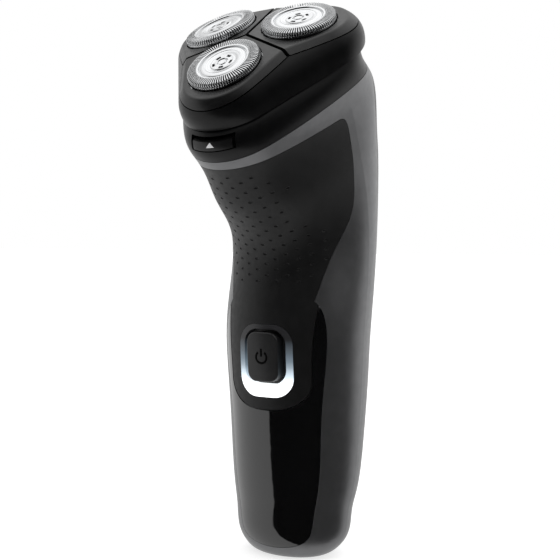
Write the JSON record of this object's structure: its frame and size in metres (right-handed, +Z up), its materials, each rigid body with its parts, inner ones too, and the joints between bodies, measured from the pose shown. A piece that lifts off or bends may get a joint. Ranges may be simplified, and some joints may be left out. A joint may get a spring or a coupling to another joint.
{
  "type": "electric shaver",
  "caption": "Rotary electric shaver: leaning head with floating slotted caps on flexing lobes, hinged unit, waisted handle with soft grip, lit power button and charging inlet in the foot.",
  "frame": {"origin": "middle of the footprint, on the flat foot of the handle", "axes": "+Z up the handle, -Y towards the front with the power button, +X to the right seen from the front"},
  "size_m": [0.061, 0.074, 0.1683],
  "materials": {
    "black_plastic": "fine matte",
    "black_rubber": "soft matte",
    "blade_steel": "ground",
    "board_green": "solder mask",
    "cap_steel": "etched and polished",
    "cell_sleeve": "shrink sleeve",
    "chip_black": "moulded",
    "copper_brass": "bare",
    "dark_cover": "satin",
    "gloss_black": "high gloss",
    "grey_inner_plastic": "plain moulded",
    "grey_plastic": "satin metallic grey",
    "nickel": "plated",
    "plain_steel": "plain",
    "screw_steel": "blackened",
    "seal_rubber": "smooth",
    "white_diffuser": "milky, lit from behind",
    "white_gear_plastic": "smooth acetal"
  },
  "bodies": {
    "handle": {"main_housing": "grey_plastic", "hair_chamber": "black_plastic", "rear_cover": "dark_cover", "front_grip": "black_rubber", "front_panel": "gloss_black", "light_ring": "white_diffuser", "gear_plate": "grey_inner_plastic", "motor_can": "plain_steel", "motor_end_cap": "chip_black", "inner_frame": "grey_inner_plastic", "circuit_board": "board_green", "board_components": "chip_black", "tactile_switch": "chip_black", "ring_lamps": "white_diffuser", "light_box": "white_diffuser", "battery_cell": "cell_sleeve", "battery_tabs": "nickel", "inlet_housing": "black_plastic", "inlet_pin_right": "nickel", "inlet_pin_left": "nickel", "inlet_seal": "seal_rubber", "spindle_seals": "seal_rubber", "gear_axles": "plain_steel", "hinge_pin": "plain_steel", "handle_seal": "seal_rubber", "release_spring": "plain_steel", "motor_screws": "screw_steel", "plate_screws": "screw_steel", "frame_screws": "screw_steel"},
    "shaving_unit": {"unit_housing": "black_plastic", "retaining_frame": "grey_inner_plastic"},
    "lock": {"lock_knob": "grey_inner_plastic"},
    "rotor": {"motor_rotor": "copper_brass", "motor_pinion": "copper_brass"},
    "button": {"power_button": "black_rubber"},
    "release": {"release_button": "black_plastic"},
    "lobe_front": {"lobe_front": "black_plastic"},
    "cap_front": {"cap_front": "cap_steel"},
    "cutter_front": {"cutter_front": "blade_steel"},
    "drive_front": {"drive_gear_front": "white_gear_plastic", "drive_spindle_front": "white_gear_plastic", "spindle_spring_front": "plain_steel"},
    "lobe_right": {"lobe_right": "black_plastic"},
    "cap_right": {"cap_right": "cap_steel"},
    "cutter_right": {"cutter_right": "blade_steel"},
    "drive_right": {"drive_gear_right": "white_gear_plastic", "drive_spindle_right": "white_gear_plastic", "spindle_spring_right": "plain_steel"},
    "lobe_left": {"lobe_left": "black_plastic"},
    "cap_left": {"cap_left": "cap_steel"},
    "cutter_left": {"cutter_left": "blade_steel"},
    "drive_left": {"drive_gear_left": "white_gear_plastic", "drive_spindle_left": "white_gear_plastic", "spindle_spring_left": "plain_steel"}
  },
  "joints": [
    {"name": "unit_hinge", "type": "hinge", "parent": "handle", "child": "shaving_unit", "pos_m": [0, 0.01292, 0.16208], "axis": [-1, 0, 0], "range_deg": [0, 100]},
    {"name": "lock_turn", "type": "hinge", "parent": "shaving_unit", "child": "lock", "pos_m": [0, -0.0076, 0.14829], "axis": [0, 0.5878, -0.809], "range_deg": [0, 90]},
    {"name": "motor_spin", "type": "hinge", "parent": "handle", "child": "rotor", "pos_m": [0, -0.01465, 0.158], "axis": [0, -0.5878, 0.809], "continuous": true},
    {"name": "button_press", "type": "slide", "parent": "handle", "child": "button", "axis": [0, 1, 0], "range_m": [0, 0.0006], "stiffness_N_per_m": 900},
    {"name": "release_press", "type": "slide", "parent": "handle", "child": "release", "axis": [0, 0.809, 0.5878], "range_m": [0, 0.0012], "stiffness_N_per_m": 600, "deforming": ["release_spring"]},
    {"name": "lobe_front_flex", "type": "hinge", "parent": "shaving_unit", "child": "lobe_front", "pos_m": [0, -0.0212, 0.1483], "axis": [-1, 0, 0], "range_deg": [0, 4], "stiffness_Nm_per_rad": 0.15},
    {"name": "cap_front_float", "type": "slide", "parent": "lobe_front", "child": "cap_front", "axis": [0, 0.682, -0.7314], "range_m": [0, 0.001], "stiffness_N_per_m": 300},
    {"name": "cutter_front_spin", "type": "hinge", "parent": "cap_front", "child": "cutter_front", "pos_m": [0, -0.02743, 0.14871], "axis": [0, -0.682, 0.7314], "continuous": true},
    {"name": "drive_front_spin", "type": "hinge", "parent": "handle", "child": "drive_front", "pos_m": [0, -0.01268, 0.12977], "axis": [0, -0.5878, 0.809], "continuous": true},
    {"name": "lobe_right_flex", "type": "hinge", "parent": "shaving_unit", "child": "lobe_right", "pos_m": [0.00953, -0.00785, 0.158], "axis": [0.5, -0.7006, -0.509], "range_deg": [0, 4], "stiffness_Nm_per_rad": 0.15},
    {"name": "cap_right_float", "type": "slide", "parent": "lobe_right", "child": "cap_right", "axis": [-0.1055, 0.5341, -0.8388], "range_m": [0, 0.001], "stiffness_N_per_m": 300},
    {"name": "cutter_right_spin", "type": "hinge", "parent": "cap_right", "child": "cutter_right", "pos_m": [0.01368, -0.00826, 0.16264], "axis": [0.1055, -0.5341, 0.8388], "continuous": true},
    {"name": "drive_right_spin", "type": "hinge", "parent": "handle", "child": "drive_right", "pos_m": [0.01299, 0.00552, 0.14299], "axis": [0, -0.5878, 0.809], "continuous": true},
    {"name": "lobe_left_flex", "type": "hinge", "parent": "shaving_unit", "child": "lobe_left", "pos_m": [-0.00953, -0.00785, 0.158], "axis": [0.5, 0.7006, 0.509], "range_deg": [0, 4], "stiffness_Nm_per_rad": 0.15},
    {"name": "cap_left_float", "type": "slide", "parent": "lobe_left", "child": "cap_left", "axis": [0.1055, 0.5341, -0.8388], "range_m": [0, 0.001], "stiffness_N_per_m": 300},
    {"name": "cutter_left_spin", "type": "hinge", "parent": "cap_left", "child": "cutter_left", "pos_m": [-0.01368, -0.00826, 0.16264], "axis": [-0.1055, -0.5341, 0.8388], "continuous": true},
    {"name": "drive_left_spin", "type": "hinge", "parent": "handle", "child": "drive_left", "pos_m": [-0.01299, 0.00552, 0.14299], "axis": [0, -0.5878, 0.809], "continuous": true}
  ],
  "couplings": [
    {"joint": "drive_front_spin", "follows": "motor_spin", "ratio": -0.25},
    {"joint": "cutter_front_spin", "follows": "motor_spin", "ratio": -0.25},
    {"joint": "drive_right_spin", "follows": "motor_spin", "ratio": -0.25},
    {"joint": "cutter_right_spin", "follows": "motor_spin", "ratio": -0.25},
    {"joint": "drive_left_spin", "follows": "motor_spin", "ratio": -0.25},
    {"joint": "cutter_left_spin", "follows": "motor_spin", "ratio": -0.25}
  ]
}
